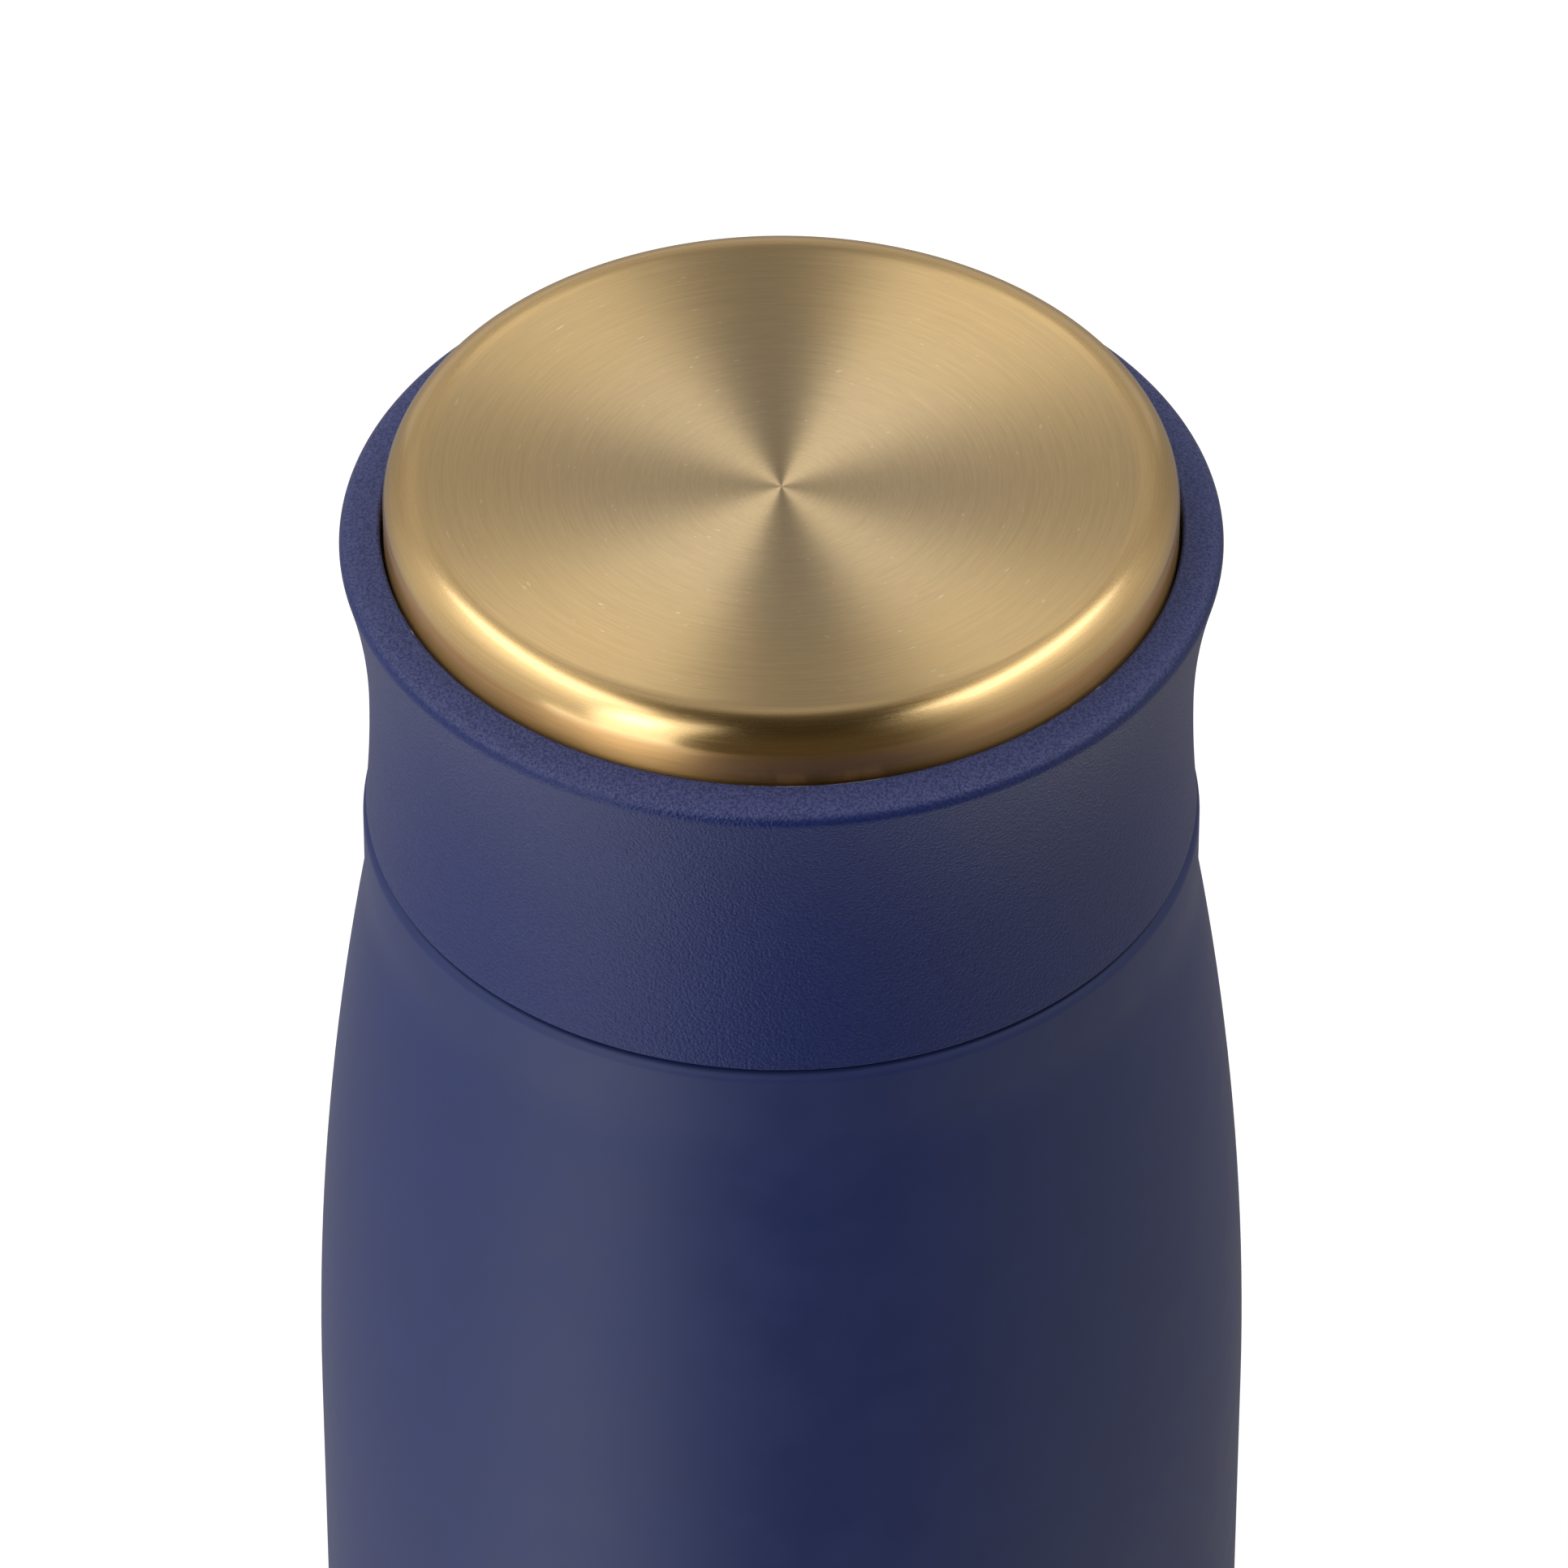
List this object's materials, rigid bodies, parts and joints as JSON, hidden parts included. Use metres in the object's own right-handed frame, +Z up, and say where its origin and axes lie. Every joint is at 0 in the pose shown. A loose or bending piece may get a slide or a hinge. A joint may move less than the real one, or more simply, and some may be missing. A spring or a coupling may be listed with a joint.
{
  "type": "insulated water bottle",
  "caption": "Double-walled steel water bottle with a tapered shoulder and a screw lid, whose flared plastic collar holds a dished brushed metal plate.",
  "frame": {"origin": "middle of the base pad's underside, on the surface that the bottle stands on", "axes": "+Z up along the bottle's axis of revolution, from the base to the lid; +X and +Y are alike, and the neck's thread starts at +X"},
  "size_m": [0.073, 0.073, 0.215],
  "materials": {
    "navy_paint": "matte soft-touch paint",
    "bare_steel": "satin electropolished",
    "copper": "thin bright copper foil",
    "seal_alloy": "solidified solder",
    "getter_metal": "pressed metal powder",
    "navy_rubber": "matte",
    "brass_plate": "circular brushed brass colour",
    "tape": "foam tape",
    "navy_plastic": "fine spark-eroded grain",
    "inner_plastic": "satin",
    "silicone": "translucent white silicone",
    "foam": "expanded bead foam"
  },
  "bodies": {
    "bottle": {"outer_shell": "navy_paint", "inner_flask": "bare_steel", "copper_foil": "copper", "outer_base": "bare_steel", "vacuum_seal": "seal_alloy", "getter_tray": "bare_steel", "getter_pill": "getter_metal", "base_pad": "navy_rubber"},
    "seal": {"lid_gasket": "silicone"},
    "lid": {"lid_plate": "brass_plate", "plate_tape": "tape", "lid_collar": "navy_plastic", "lid_liner": "inner_plastic", "stopper_cup": "inner_plastic", "stopper_foam": "foam", "lid_foam": "foam"}
  },
  "joints": [
    {"name": "lid_lift", "type": "slide", "parent": "bottle", "child": "seal", "axis": [0, 0, 1], "range_m": [0, 0.0225]},
    {"name": "lid_turn", "type": "hinge", "parent": "seal", "child": "lid", "pos_m": [0, 0, 0.19], "axis": [0, 0, 1], "range_deg": [0, 1800]}
  ],
  "couplings": [
    {"joint": "lid_lift", "follows": "lid_turn", "m_per_rad": 0.0007162}
  ]
}
